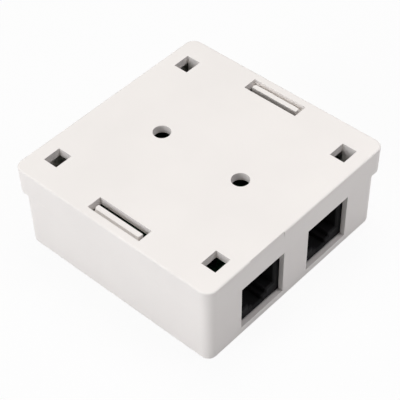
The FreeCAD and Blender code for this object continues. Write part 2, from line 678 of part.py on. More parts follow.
def contact_path(number):
    """Centre line of one contact wire, from its pin, along the comb, round the front and back."""
    x = size(contact_x(number))
    run_z = size("insert_top - comb_depth + contact_thickness / 2 + 0.02")
    pin_y = -size(contact_row(number))
    bend = size("contact_bend")
    slope = math.radians(size("contact_slope"))
    front_y = -size("contact_front")

    def spot(y, z):
        return Vector(x, y, z)

    pin, foot = spot(pin_y, -size("pin_length")), spot(pin_y, run_z)
    turn = []
    for step in range(BEND_CHORDS + 1):
        angle = (math.pi - slope) * step / BEND_CHORDS - math.pi / 2
        turn.append(spot(front_y + bend * math.cos(angle), run_z + bend + bend * math.sin(angle)))
    run_back = size("contact_tip") - size("contact_front") + bend * math.sin(slope)
    tip = turn[-1] + Vector(0, -run_back, run_back * math.tan(slope))
    return Part.makePolygon([pin, foot] + turn + [tip])


def make_jack_contacts(label, side):
    """Eight sprung wires of one jack, each a flat section swept along its centre line."""
    half_x, half_y = size("contact_width / 2"), size("contact_thickness / 2")
    wires = []
    for number in range(CONTACTS_PER_JACK):
        path = contact_path(number)
        start = path.Edges[0].Vertexes[0].Point
        corners = [start + Vector(sx * half_x, sy * half_y, 0)
                   for sx, sy in ((-1, -1), (1, -1), (1, 1), (-1, 1), (-1, -1))]
        wires.append(path.makePipeShell([Part.makePolygon(corners)], True, False, MITRED))
    feature = doc.addObject("Part::Feature", label)
    feature.Label = label
    feature.Shape = Part.makeCompound(wires)
    spot = Vector(size(port_x(side)), size(JACK_FACE), size(BOARD_Z))
    feature.Placement = Placement(spot, Rotation(Vector(1, 0, 0), 180))
    return feature


def make_wire_block(label, side, row):
    """Four-way wire block: five towers with wire slots between them and a groove for blades."""
    body = on_board(label, port_x(side), row)
    profile = new_sketch(body, "profile", "YZ")
    polygon(profile, mirrored([("block_width / 2", "0"), ("block_width / 2", "block_shoulder"),
                               ("block_crest / 2", "block_height")]))
    pad(body, profile, "block_length", both=True)
    slots = new_sketch(body, "wire_slots", at="block_height")
    passages = new_sketch(body, "pin_passages")
    centred(slots, "wire_slot / 2", "block_width / 2", x=blade_x(0))
    centred(passages, "pin_passage / 2", "blade_groove / 2", x=blade_x(0))
    groove = new_sketch(body, "blade_groove", at="block_height")
    centred(groove, "(block_length / 2 - blade_groove_end)", "blade_groove / 2")
    pocket(body, groove, "block_height - blade_groove_floor")
    first = [pocket(body, slots, "block_height - wire_slot_floor"),
             pocket(body, passages, "blade_groove_floor", back=True)]
    repeat(body, first, slots, "H_Axis", f"{WIRES_PER_BLOCK - 1} * block_pitch", WIRES_PER_BLOCK)
    return body


def make_blades(label, side, row):
    """Four forked contact blades of one wire block, each with its solder pin."""
    body = on_board(label, port_x(side), row)
    blade = new_sketch(body, "blade", "XZ")
    foot = "blade_groove_floor"
    half = [("blade_pin_width / 2", "-pin_length"), ("blade_pin_width / 2", foot),
            ("blade_width / 2", foot), ("blade_width / 2", "blade_height"),
            ("blade_mouth / 2", "blade_height"),
            ("blade_slit / 2", "blade_height - blade_mouth_depth"),
            ("blade_slit / 2", "blade_slit_floor")]
    polygon(blade, [(f"{blade_x(0)} + {x}", z) for x, z in mirrored(half)])
    first = pad(body, blade, "blade_thickness", both=True)
    repeat(body, [first], blade, "H_Axis", f"{WIRES_PER_BLOCK - 1} * block_pitch", WIRES_PER_BLOCK)
    return body


def make_cap(label, side, row):
    """Dust cap pressed over a wire block, notched for the wires."""
    body = on_board(label, port_x(side), row)
    inner = "(block_width / 2 + cap_side_play)"
    profile = new_sketch(body, "profile", "YZ")
    polygon(profile, mirrored([(CAP_HALF, "block_height + cap_top"), (CAP_HALF, "cap_skirt"),
                               (inner, "cap_skirt"), (inner, "block_height")]))
    pad(body, profile, "cap_length", both=True)
    top = size("block_height + cap_top")
    soften("Fillet", body, "edges", "cap_round",
           lambda e: level(e, top) and e.BoundBox.XLength > size("cap_length / 2"))
    notches = new_sketch(body, "notches", "XZ")
    for number in range(WIRES_PER_BLOCK):
        x = blade_x(number)
        rectangle(notches, f"{x} - cap_notch / 2", f"{x} + cap_notch / 2", "cap_skirt",
                  "cap_notch_top")
    pocket(body, notches, f"2 * {CAP_HALF}", both=True)
    return body


def make_all():
    """Build every sub-part and return them in the order in which the box goes together."""
    parts = [make_base(), make_cover(), make_board()]
    for place, side in PORTS:
        parts.append(make_jack_housing(f"jack_housing_{place}", side))
        parts.append(make_jack_insert(f"jack_carrier_{place}", side))
        parts.append(make_jack_contacts(f"jack_contacts_{place}", side))
        for end, row in (("front", FRONT_ROW), ("rear", REAR_ROW)):
            parts.append(make_wire_block(f"wire_block_{place}_{end}", side, row))
            parts.append(make_blades(f"blades_{place}_{end}", side, row))
            parts.append(make_cap(f"dust_cap_{place}_{end}", side, row))
    doc.recompute()
    return parts


def check(parts):
    """Stop if any object failed, or if a sub-part's shape is empty or not valid."""
    for thing in doc.Objects:
        if {"Invalid", "Error"} & set(thing.State):
            raise RuntimeError(f"{thing.Name} is in state {thing.State}")
    for part in parts:
        if part.Shape.isNull() or not part.Shape.isValid() or not part.Shape.Solids:
            raise RuntimeError(f"{part.Label} has no valid solid")


def export(parts):
    os.makedirs("parts", exist_ok=True)
    for part in parts:
        part.Shape.exportStep(f"parts/{part.Label}.step")
        box = part.Shape.BoundBox
        print(f"{part.Label:24s} {len(part.Shape.Solids)} solids {part.Shape.Volume:9.1f} mm3"
              f"  x {box.XMin:6.2f} {box.XMax:6.2f}  y {box.YMin:6.2f} {box.YMax:6.2f}"
              f"  z {box.ZMin:6.2f} {box.ZMax:6.2f}")


PARTS = make_all()
check(PARTS)
export(PARTS)
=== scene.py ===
"""Finish and small fittings of a two-port network wall box that lies on its front cover.

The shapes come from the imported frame. This file gives each piece of the frame a procedural finish, adds
what is soldered, plated and printed on the circuit board and the ejector marks inside the cover, and puts
the box in a plain studio.
"""
import math

import bmesh
import bpy
from bpy.props import FloatProperty, FloatVectorProperty, PointerProperty
from mathutils import Matrix, Vector


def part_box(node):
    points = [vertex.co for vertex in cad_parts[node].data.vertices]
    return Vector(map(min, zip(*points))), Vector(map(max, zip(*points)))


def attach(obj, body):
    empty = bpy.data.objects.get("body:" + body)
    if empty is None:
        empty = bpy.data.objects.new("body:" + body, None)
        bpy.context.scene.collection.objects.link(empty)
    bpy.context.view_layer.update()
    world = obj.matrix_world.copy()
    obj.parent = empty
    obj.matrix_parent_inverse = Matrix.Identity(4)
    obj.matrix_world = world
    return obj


bl_info = {
    "name": "Network Wall Box",
    "version": (1, 0, 0),
    "blender": (4, 5, 0),
    "location": "3D View > Sidebar > Wall Box",
    "description": "Dresses the frame of a two-port network wall box and sets a studio round it",
    "category": "Object",
}

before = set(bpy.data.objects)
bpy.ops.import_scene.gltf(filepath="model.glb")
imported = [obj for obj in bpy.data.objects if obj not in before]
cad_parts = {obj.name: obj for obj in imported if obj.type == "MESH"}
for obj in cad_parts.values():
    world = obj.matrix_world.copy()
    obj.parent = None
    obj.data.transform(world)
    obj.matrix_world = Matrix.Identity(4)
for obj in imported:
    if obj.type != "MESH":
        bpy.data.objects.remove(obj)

MM = 0.001
# Points closer than this are merged, and a pin's end is its last short stretch
SAME_POINT, PIN_END = 0.001 * MM, 0.05 * MM
COVER, UNIT = "cover", "base_unit"
PORTS = ("left", "right")
ROWS = ("front", "rear")
PAIRS = ("blue", "orange", "green", "brown")
BOARD_LOW, BOARD_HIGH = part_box("circuit_board")
COMPONENT_SIDE, SOLDER_SIDE = BOARD_LOW.z, BOARD_HIGH.z
COVER_LOW, COVER_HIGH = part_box("cover")
# A solder joint's rings, its sides, and the height of its middle as a share of its rim's
JOINT_RINGS, JOINT_SIDES, JOINT_MIDDLE = 5, 14, 1.08
MARK_SIDES = 32
# Half the floor's side in metres, and a full-frame sensor's width in millimetres
FLOOR_REACH, FULL_FRAME = 3.0, 36.0
WHITE = (1, 1, 1, 1)


def length(name, description, millimetres):
    """A size that a user may change, shown in scene units."""
    return FloatProperty(name=name, description=description, default=millimetres * MM, min=0.0,
                         precision=5, subtype="DISTANCE", unit="LENGTH")


def share(name, description, value):
    """A part of a whole, from 0 to 1."""
    return FloatProperty(name=name, description=description, default=value, min=0.0, max=1.0,
                         subtype="FACTOR")


def angle(name, description, degrees):
    """An angle, given here in degrees."""
    return FloatProperty(name=name, description=description, default=math.radians(degrees),
                         subtype="ANGLE", unit="ROTATION")


def power(name, description, watts):
    """The power of a lamp."""
    return FloatProperty(name=name, description=description, default=watts, min=0.0, subtype="POWER",
                         unit="POWER")


def colour(name, description, red, green, blue):
    """A colour in linear light."""
    return FloatVectorProperty(name=name, description=description, default=(red, green, blue), size=3,
                               min=0.0, max=1.0, subtype="COLOR")


class HousingSettings(bpy.types.PropertyGroup):
    """Moulded plastic of the base and the cover, and the ejector marks in the cover"""
    tint: colour("Tint", "Plastic of the base and the cover", 0.85, 0.816, 0.787)
    shade: colour("Shade", "Slightly greyer flow marks in the same plastic", 0.825, 0.791, 0.764)
    roughness: share("Roughness", "Mean roughness of the satin surface", 0.46)
    grain: length("Grain", "Distance between the bumps of the spark-eroded surface", 0.35)
    grain_depth: length("Grain Depth", "Height of those bumps", 0.006)
    edge: length("Edge", "Radius that softens the moulded edges", 0.14)
    plate: length("Front Plate", "Thickness of the cover's front plate", 2.0)
    mark_foot: length("Mark Foot", "Radius of an ejector mark at its foot", 2.0)
    mark_top: length("Mark Top", "Radius of an ejector mark at its top", 1.9)
    mark_depth: length("Mark Depth", "Whole thickness of a mark, which starts inside the plate", 0.06)
    mark_middle: length("Mark Middle", "Middle of that thickness above the plate", 0.02)
    mark_spread: share("Mark Spread", "Outer marks, as a share of the way to the cover's walls", 0.72)
    mark_front: share("Mark Front", "Marks nearer the ports, as a share of the rear ones' way", 0.4)


class JackSettings(bpy.types.PropertyGroup):
    """The two jacks: plastic parts and contact wires"""
    plastic: colour("Plastic", "Housing of a jack", 0.009, 0.009, 0.0095)
    carrier: colour("Carrier", "Carrier of the contact wires", 0.010, 0.010, 0.0105)
    plating: colour("Plating", "Plating of the contact wires", 0.86, 0.61, 0.24)
    roughness: share("Roughness", "Roughness of the housing's plastic", 0.55)


class BlockSettings(bpy.types.PropertyGroup):
    """Wire blocks, their blades and their dust caps"""
    block: colour("Block", "Plastic of a wire block", 0.78, 0.78, 0.75)
    cap: colour("Cap", "Plastic of a dust cap", 0.62, 0.66, 0.68)
    tin: colour("Tin", "Plating of the blades", 0.70, 0.69, 0.66)


class BoardSettings(bpy.types.PropertyGroup):
    """The circuit board and what is plated, soldered and printed on it"""
    mask: colour("Mask", "Solder mask over bare laminate", 0.004, 0.036, 0.016)
    covered: colour("Covered Copper", "Solder mask over a copper track", 0.016, 0.125, 0.052)
    laminate: colour("Laminate", "Sawn edge of the board", 0.42, 0.40, 0.20)
    solder: colour("Solder", "Solder on the pins", 0.66, 0.66, 0.67)
    print_ink: colour("Print", "Outlines printed round the wire blocks", 0.80, 0.80, 0.76)
    blue: colour("Blue Pair", "Field beside the wire slot of the blue pair", 0.02, 0.09, 0.42)
    orange: colour("Orange Pair", "Field beside the wire slot of the orange pair", 0.72, 0.20, 0.02)
    green: colour("Green Pair", "Field beside the wire slot of the green pair", 0.02, 0.28, 0.07)
    brown: colour("Brown Pair", "Field beside the wire slot of the brown pair", 0.16, 0.06, 0.025)
    peg_margin: length("Peg Margin", "Centre of each peg of the base inside the board's side edge", 6.0)
    peg_keep_out: length("Peg Keep-out", "Half of the square round a peg that stays without print", 1.6)
    track_width: length("Track Width", "Copper track", 0.40)
    track_height: length("Track Height", "Copper and mask above the laminate", 0.05)
    track_straight: length("Track Straight", "From a jack's rear pins to the tracks' first turn", 2.2)
    joint_radius: length("Joint Radius", "Foot of a solder joint", 0.70)
    joint_neck: length("Joint Neck", "Radius of a solder joint at its pin", 0.28)
    joint_height: length("Joint Height", "Solder joint above the board", 0.75)
    joint_hollow: FloatProperty(name="Joint Hollow", description="Power that hollows a joint's flank",
                                default=1.8, min=1.0)
    ink_height: length("Ink Height", "Print above the solder mask", 0.02)
    outline_gap: length("Outline Gap", "Between a dust cap and the outline round it", 0.15)
    outline_width: length("Outline Width", "Line of an outline", 0.15)
    field_gap: length("Field Gap", "From a dust cap's edge to the middle of its fields", 1.4)
    field_along: length("Field Along", "Size of a field along its wire block", 2.2)
    field_across: length("Field Across", "Size of a field across its wire block", 1.3)
    field_corner: length("Field Corner", "Radius of a field's corners", 0.3)


class StageSettings(bpy.types.PropertyGroup):
    """Camera, lamps and floor"""
    azimuth: angle("Azimuth", "Camera round the box; 0 looks along +Y", -46.952)
    elevation: angle("Elevation", "Camera above the horizon", 45.667)
    roll: angle("Roll", "Camera about its own axis", -1.486)
    focal_length: length("Focal Length", "Lens on a full-frame sensor", 119.487)
    distance: length("Distance", "Camera to the middle of its view", 338.934)
    box_right: length("Box Right", "Frame's origin right of the view's centre", 0.447)
    box_down: length("Box Down", "Frame's origin below the view's centre", 7.093)
    floor: colour("Floor", "Paper that the box lies on", 0.78, 0.78, 0.78)
    floor_glow: share("Floor Glow", "How far the camera sees the floor as plain white", 0.92)
    sky: FloatProperty(name="Sky", description="Even light from all round", default=0.06, min=0.0)
    window_lamp: power("Window Lamp", "Large lamp low on the side away from the ports", 4.0)
    window_hue: colour("Window Hue", "Light of the window lamp", 0.970, 0.975, 1.0)
    top_lamp: power("Top Lamp", "Large lamp overhead, a little behind the box", 4.1)
    top_hue: colour("Top Hue", "Light of the top lamp", 1.0, 0.998, 0.972)
    port_lamp: power("Port Lamp", "Small lamp above the ports' side", 0.72)
    port_hue: colour("Port Hue", "Light of the port lamp", 0.975, 0.95, 1.0)


class Wire:
    """An output socket. The signs + and *, > and abs add Math nodes, and | takes the larger value."""

    def __init__(self, finish, socket):
        self.finish, self.socket = finish, socket

    def maths(self, operation, *others):
        terms = dict(enumerate((self, *others)))
        return self.finish.add("ShaderNodeMath", {"operation": operation}, terms)

    def __add__(self, other):
        return self.maths("ADD", other)

    def __mul__(self, other):
        return self.maths("MULTIPLY", other)

    def __or__(self, other):
        return self.maths("MAXIMUM", other)

    def __gt__(self, other):
        return self.maths("GREATER_THAN", other)

    def __abs__(self):
        return self.maths("ABSOLUTE")

    __radd__ = __add__
    __rmul__ = __mul__
    __ror__ = __or__


class Finish:
    """A procedural material, or the world, while its nodes are being wired up."""

    def __init__(self, name, store="materials"):
        self.owner = getattr(bpy.data, store).new(name)
        self.owner.use_nodes = True
        self.tree = self.owner.node_tree
        self.tree.nodes.clear()

    def add(self, kind, settings=None, inputs=None, out=0):
        """Add a node, set it up, feed its sockets, and return one of its outputs as a wire."""
        node = self.tree.nodes.new(kind)
        for key, value in (settings or {}).items():
            setattr(node, key, value)
        for key, value in (inputs or {}).items():
            if isinstance(value, Wire):
                self.tree.links.new(value.socket, node.inputs[key])
            else:
                node.inputs[key].default_value = value
        return Wire(self, node.outputs[out]) if len(node.outputs) else None

    def place(self):
        """Object coordinates, in metres."""
        return self.add("ShaderNodeTexCoord", out="Object")

    def noise(self, size, detail=2.0, place=None):
        """Noise with features about a size across, in metres."""
        return self.add("ShaderNodeTexNoise", None, {
            "Vector": place or self.place(), "Scale": 1.0 / size, "Detail": detail}, out="Fac")

    def patches(self, size, detail=2.0, low=0.3, high=0.7):
        """Noise with its range from low to high drawn out to 0 and 1."""
        return self.spread(self.noise(size, detail), low, high)

    def blend(self, mask, first, second):
        """Mix two colours."""
        return self.add("ShaderNodeMix", {"data_type": "RGBA"}, {
            "Factor": mask, 6: with_alpha(first), 7: with_alpha(second)}, out=2)

    def spread(self, value, low, high, new_low=0.0, new_high=1.0):
        """Map a range onto another and hold it there."""
        return self.add("ShaderNodeMapRange", None, {
            "Value": value, "From Min": low, "From Max": high, "To Min": new_low, "To Max": new_high})

    def bump(self, height, depth, edge=0.0):
        """Normal of a surface whose bumps are depth high, with edges rounded off by edge."""
        inputs = {"Strength": 1.0, "Distance": depth, "Height": height}
        if edge:
            inputs["Normal"] = self.add("ShaderNodeBevel", {"samples": 6}, {"Radius": edge}, out="Normal")
        return self.add("ShaderNodeBump", None, inputs, out="Normal")

    def surface(self, **sockets):
        """Close the material with a Principled shader, its sockets named with underscores."""
        inputs = {name.replace("_", " ").title().replace("Ior", "IOR"): value
                  for name, value in sockets.items()}
        shader = self.add("ShaderNodeBsdfPrincipled", None, inputs)
        self.add("ShaderNodeOutputMaterial", None, {"Surface": shader})
        return self.owner


def with_alpha(value):
    """A plain colour gets its alpha; a wire stays as it is."""
    return value if isinstance(value, Wire) else (*value, 1.0)


def shaded(base, factor):
    """The same colour, darker or lighter by a factor."""
    return tuple(channel * factor for channel in base)


def varied(mean, swing, mask):
    """A value that a mask from 0 to 1 swings round its mean."""
    return mask * swing + (mean - swing / 2)


def direction(turn, rise):
    """Way out from the box at an azimuth, 0 towards -Y, and a height above the horizon, in radians."""
    return Vector((math.sin(turn) * math.cos(rise), -math.cos(turn) * math.cos(rise), math.sin(rise)))


def dress(nodes, material):
    """Give frame nodes a material in place of the imported one."""
    for name in nodes:
        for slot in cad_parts[name].material_slots:
            slot.material = material


def named(*stems):
    """Names of the frame's nodes that start with any of the stems."""
    return [name for name in sorted(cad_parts) if name.startswith(stems)]


def put(name, data):
    """Make an object and add it to the scene."""
    made = bpy.data.objects.new(name, data)
    bpy.context.scene.collection.objects.link(made)
    return made


def put_mesh(mesh, name, material):
    """Turn a bmesh into an object of one material."""
    data = bpy.data.meshes.new(name)
    mesh.to_mesh(data)
    mesh.free()
    data.materials.append(material)
    return put(name, data)


def settle(mesh, name, body, material):
    """Turn a bmesh into a finished piece that rides on a body."""
    bmesh.ops.recalc_face_normals(mesh, faces=mesh.faces)
    piece = put_mesh(mesh, name, material)
    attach(piece, body)


def thicken(mesh, faces, rise):
    """Give flat faces a thickness along Z."""
    raised = bmesh.ops.extrude_face_region(mesh, geom=faces)
    lifted = [part for part in raised["geom"] if isinstance(part, bmesh.types.BMVert)]
    bmesh.ops.translate(mesh, verts=lifted, vec=(0, 0, rise))


def solids_of(node):
    """Points of each separate solid of a frame node."""
    mesh = bmesh.new()
    mesh.from_mesh(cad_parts[node].data)
    bmesh.ops.remove_doubles(mesh, verts=mesh.verts, dist=SAME_POINT)
    waiting, found = set(mesh.verts), []
    while waiting:
        reached = [waiting.pop()]
        points = []
        while reached:
            corner = reached.pop()
            points.append(corner.co.copy())
            beside = {edge.other_vert(corner) for edge in corner.link_edges} & waiting
            waiting -= beside
            reached.extend(beside)
        found.append(points)
    mesh.free()
    return found


def pin_ends(node):
    """Centre of each solder pin's end, where it stands out of the board, ordered along X."""
    ends = []
    for points in solids_of(node):
        top = max(point.z for point in points)
        tip = [point for point in points if top - point.z < PIN_END]
        ends.append(sum(tip, Vector()) / len(tip))
    return sorted(ends, key=lambda end: end.x)


def housing_finish(settings):
    """Warm white satin plastic with faint flow marks and a fine eroded grain."""
    finish = Finish("moulded_housing")
    flow = finish.patches(24 * MM, detail=3.0, low=0.35, high=0.65)
    grain = finish.noise(settings.grain, detail=3.0)
    return finish.surface(
        base_color=finish.blend(flow, settings.shade, settings.tint), ior=1.5,
        roughness=varied(settings.roughness, 0.10, finish.noise(3 * MM)),
        normal=finish.bump(grain, settings.grain_depth, settings.edge))


def black_finish(name, base, roughness):
    """Glass-filled black plastic: satin, with a faint orange peel."""
    finish = Finish(name)
    peel = finish.noise(0.5 * MM)
    return finish.surface(
        base_color=finish.blend(finish.patches(4 * MM), base, shaded(base, 1.6)),
        roughness=varied(roughness, 0.12, peel), ior=1.52, specular_ior_level=0.06,
        normal=finish.bump(peel, depth=0.004 * MM, edge=0.06 * MM))


def metal_finish(name, base, roughness, streak):
    """Plated metal with fine streaks; a streak under 1 draws them out along that axis."""
    finish = Finish(name)
    stretched = finish.add("ShaderNodeMapping", None, {"Vector": finish.place(), "Scale": streak},
                           out="Vector")
    lines = finish.noise(0.12 * MM, place=stretched)
    return finish.surface(
        base_color=finish.blend(finish.spread(lines, 0.3, 0.7), shaded(base, 0.78), base), metallic=1.0,
        roughness=varied(roughness, 0.16, lines), normal=finish.bump(lines, depth=0.002 * MM))


def pale_finish(name, base, roughness, clear=0.0):
    """Light moulded plastic of the small parts; clear lets a little light through."""
    finish = Finish(name)
    grain = finish.noise(0.4 * MM)
    return finish.surface(
        base_color=finish.blend(finish.patches(5 * MM), shaded(base, 0.93), base),
        roughness=varied(roughness, 0.1, grain), transmission_weight=clear, ior=1.49,
        normal=finish.bump(grain, depth=0.004 * MM, edge=0.08 * MM))


def board_finish(settings):
    """Green solder mask over a laminate woven about 1 mm apart, whose sawn edge stays bare."""
    finish = Finish("masked_board")
    place = finish.place()
    warp, weft = (
        finish.add("ShaderNodeTexWave", {"bands_direction": along}, {
            "Vector": place, "Scale": 1.0 / (3.2 * MM), "Distortion": 0.6, "Detail": 1.0}, out="Fac")
        for along in ("X", "Y"))
    weave = warp * weft
    normal = finish.add("ShaderNodeTexCoord", out="Normal")
    flat = abs(finish.add("ShaderNodeSeparateXYZ", None, {"Vector": normal}, out="Z")) > 0.5
    mask = finish.blend(weave, settings.mask, shaded(settings.mask, 1.5))
    return finish.surface(
        base_color=finish.blend(flat, settings.laminate, mask), ior=1.5,
        roughness=finish.spread(flat, 0.0, 1.0, 0.75, 0.28),
        normal=finish.bump(weave, depth=0.004 * MM, edge=0.05 * MM))


def covered_copper_finish(base):
    """Solder mask over copper: a lighter green with a hint of metal below."""
    finish = Finish("covered_copper")
    cloud = finish.patches(1.2 * MM)
    return finish.surface(
        base_color=finish.blend(cloud, shaded(base, 0.8), base), metallic=0.25, ior=1.5,
        roughness=varied(0.28, 0.08, cloud), normal=finish.bump(cloud, depth=0.003 * MM, edge=0.03 * MM))


def ink_finish(name, base):
    """Printed ink: slightly uneven and dull."""
    finish = Finish(name)
    cover = finish.patches(0.3 * MM, detail=3.0, low=0.25, high=0.6)
    return finish.surface(base_color=finish.blend(cover, shaded(base, 0.82), base),
                          roughness=varied(0.55, 0.1, cover))


class WALLBOX_OT_finish_housing(bpy.types.Operator):
    """Give the base and the cover their moulded finish"""
    bl_idname = "wallbox.finish_housing"
    bl_label = "Finish Housing"

    def execute(self, context):
        dress(("base", "cover"), housing_finish(context.scene.wallbox_housing))
        return {"FINISHED"}


class WALLBOX_OT_finish_jacks(bpy.types.Operator):
    """Give the jacks their black plastic and their plated contact wires"""
    bl_idname = "wallbox.finish_jacks"
    bl_label = "Finish Jacks"

    def execute(self, context):
        settings = context.scene.wallbox_jacks
        dress(named("jack_housing"), black_finish("moulded_jack", settings.plastic, settings.roughness))
        dress(named("jack_carrier"), black_finish("moulded_carrier", settings.carrier, 0.5))
        dress(named("jack_contacts"), metal_finish("plated_contact", settings.plating, 0.24, (1, 0.1, 1)))
        return {"FINISHED"}


class WALLBOX_OT_finish_blocks(bpy.types.Operator):
    """Give the wire blocks, blades and dust caps their finishes"""
    bl_idname = "wallbox.finish_blocks"
    bl_label = "Finish Wire Blocks"

    def execute(self, context):
        settings = context.scene.wallbox_blocks
        dress(named("wire_block"), pale_finish("moulded_block", settings.block, 0.42))
        dress(named("dust_cap"), pale_finish("moulded_cap", settings.cap, 0.3, clear=0.25))
        dress(named("blades"), metal_finish("plated_blade", settings.tin, 0.3, (1, 1, 0.1)))
        return {"FINISHED"}


class WALLBOX_OT_finish_board(bpy.types.Operator):
    """Give the circuit board its solder mask and bare edge"""
    bl_idname = "wallbox.finish_board"
    bl_label = "Finish Board"

    def execute(self, context):
        dress(("circuit_board",), board_finish(context.scene.wallbox_board))
        return {"FINISHED"}


class WALLBOX_OT_build_solder(bpy.types.Operator):
    """Put a solder joint round every pin that comes through the board"""
    bl_idname = "wallbox.build_solder"
    bl_label = "Build Solder Joints"

    def execute(self, context):
        settings = context.scene.wallbox_board
        material = metal_finish("solder_joint", settings.solder, 0.3, (1, 1, 1))
        for node in named("jack_contacts", "blades"):
            mesh = bmesh.new()
            for end in pin_ends(node):
                self.add_joint(mesh, end, settings)
            settle(mesh, f"solder_{node}", UNIT, material)
        return {"FINISHED"}

    @staticmethod
    def add_joint(mesh, end, settings):
        """Spin a hollow flank, steep at the pin and flat at the board, round one pin."""
        corners = [mesh.verts.new((end.x, end.y, SOLDER_SIDE))]
        for step in range(JOINT_RINGS + 1):
            up = step / JOINT_RINGS
            spare = (settings.joint_radius - settings.joint_neck) * (1 - up) ** settings.joint_hollow
            out = settings.joint_neck + spare
            corners.append(mesh.verts.new((end.x + out, end.y, SOLDER_SIDE + up * settings.joint_height)))
        corners.append(mesh.verts.new((end.x, end.y, SOLDER_SIDE + JOINT_MIDDLE * settings.joint_height)))
        flank = [mesh.edges.new(pair) for pair in zip(corners, corners[1:])]
        bmesh.ops.spin(mesh, geom=corners + flank, cent=end, axis=(0, 0, 1), angle=math.tau,
                       steps=JOINT_SIDES, use_merge=True, use_normal_flip=False, use_duplicate=False)
        bmesh.ops.remove_doubles(mesh, verts=mesh.verts, dist=SAME_POINT)


class WALLBOX_OT_build_tracks(bpy.types.Operator):
    """Lead copper tracks from each jack's pins to its two wire blocks"""
    bl_idname = "wallbox.build_tracks"
    bl_label = "Build Tracks"

    def execute(self, context):
        settings = context.scene.wallbox_board
        material = covered_copper_finish(settings.covered)
        for port in PORTS:
            pins = pin_ends(f"jack_contacts_{port}")
            front = pin_ends(f"blades_{port}_front")
            rear = pin_ends(f"blades_{port}_rear")
            turn = max(pin.y for pin in pins) + settings.track_straight
            to_front, to_rear = pins[::2], pins[1::2]
            aside = (front[1].x - front[0].x) / 2
            if port == "right":
                to_front, to_rear = to_rear, to_front
                aside = -aside
            mesh = bmesh.new()
            for pin, end in zip(to_front, front):
                self.add_track(mesh, self.route(pin, end, 0, turn), settings)
            for pin, end in zip(to_rear, rear):
                self.add_track(mesh, self.route(pin, end, aside, turn), settings)
            settle(mesh, f"tracks_{port}", UNIT, material)
        return {"FINISHED"}

    @staticmethod
    def route(pin, end, aside, turn):
        """Straight back from the jack's pin, over to a lane at 45 degrees, and on to the block's pin."""
        lane = end.x + aside
        points = [(pin.x, pin.y), (pin.x, turn), (lane, turn + abs(lane - pin.x))]
        if aside:
            points.append((lane, end.y - abs(aside)))
        points.append((end.x, end.y))
        return [Vector((x, y, COMPONENT_SIDE)) for x, y in points]

    @staticmethod
    def add_track(mesh, points, settings):
        """Draw the route as a flat ribbon of even width on the component side, and thicken it."""
        ways = [(after - before).normalized() for before, after in zip(points, points[1:])]
        rails = []
        for index, point in enumerate(points):
            before, after = ways[max(index - 1, 0)], ways[min(index, len(ways) - 1)]
            middle = (before + after).normalized()
            side = Vector((-middle.y, middle.x, 0)) * (settings.track_width / 2 / middle.dot(after))
            rails.append([mesh.verts.new(point + side), mesh.verts.new(point - side)])
        ribbon = [mesh.faces.new((a[0], a[1], b[1], b[0])) for a, b in zip(rails, rails[1:])]
        thicken(mesh, ribbon, -settings.track_height)


